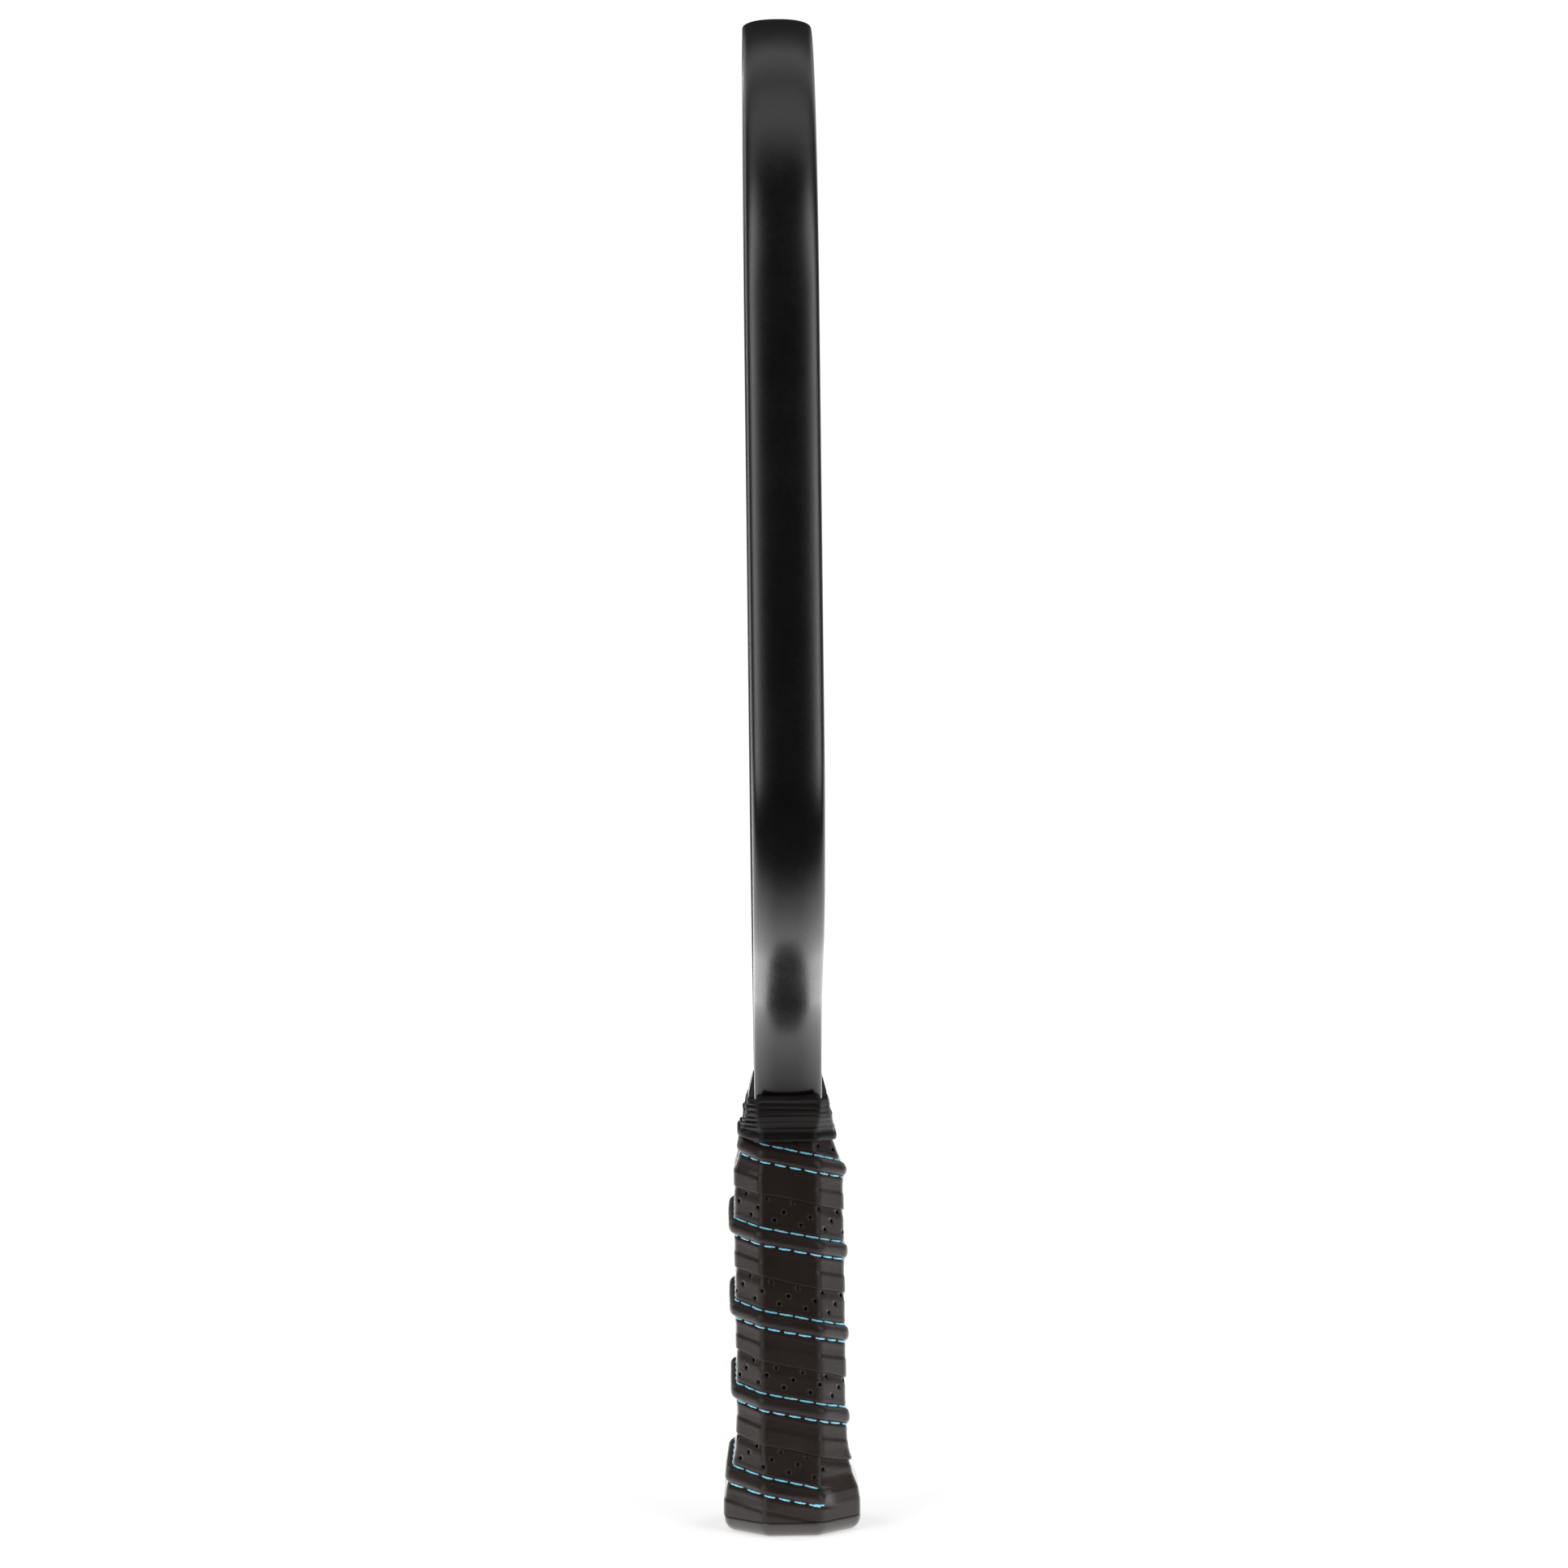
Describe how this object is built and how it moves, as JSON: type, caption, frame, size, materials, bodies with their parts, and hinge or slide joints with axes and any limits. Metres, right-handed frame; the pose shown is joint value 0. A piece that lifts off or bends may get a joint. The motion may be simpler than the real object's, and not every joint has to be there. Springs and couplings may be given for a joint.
{
  "type": "pickleball paddle",
  "caption": "Pickleball paddle with a honeycomb sandwich head, black edge guard, rubber collar and a wrapped octagonal grip with a spiral rib stitched in blue.",
  "frame": {"origin": "middle of the butt's flat end, on the handle's axis", "axes": "+Z along the handle from the butt to the head, +Y out of the back face and -Y out of the front face, X across the head"},
  "size_m": [0.2, 0.0358, 0.395],
  "materials": {
    "core_plastic": "translucent polypropylene honeycomb, cut cells",
    "core_scrim": "thin non-woven polyester fleece",
    "face_composite": "woven fibre in epoxy with a fine matt grit",
    "guard_plastic": "satin black flexible polyurethane",
    "edge_adhesive": "clear adhesive strip",
    "shell_foam": "moulded structural foam with a satin skin",
    "cap_plastic": "moulded satin plastic",
    "staple_steel": "zinc plated wire",
    "disc_plastic": "plain moulded disc with a satin ring",
    "backing_foam": "soft closed cell foam",
    "grip_skin": "satin synthetic leather with fine pores and perforations",
    "rib_foam": "soft foam cord",
    "stitch_thread": "twisted polyester thread, light blue",
    "finishing_vinyl": "stretchy vinyl tape",
    "collar_rubber": "matt rubber with fine moulded ribs"
  },
  "bodies": {
    "root": {"honeycomb_core": "core_plastic", "core_scrim_front": "core_scrim", "core_scrim_back": "core_scrim", "face_sheet_front": "face_composite", "face_sheet_back": "face_composite", "edge_guard": "guard_plastic", "edge_guard_tape": "edge_adhesive", "handle_shell_front": "shell_foam", "handle_shell_back": "shell_foam", "butt_cap": "cap_plastic", "butt_cap_staples": "staple_steel", "butt_end_disc": "disc_plastic", "grip_tape_backing": "backing_foam", "grip_tape": "grip_skin", "rib_cord": "rib_foam", "stitch_thread_upper": "stitch_thread", "stitch_thread_lower": "stitch_thread", "finishing_tape": "finishing_vinyl", "collar": "collar_rubber"}
  },
  "joints": []
}
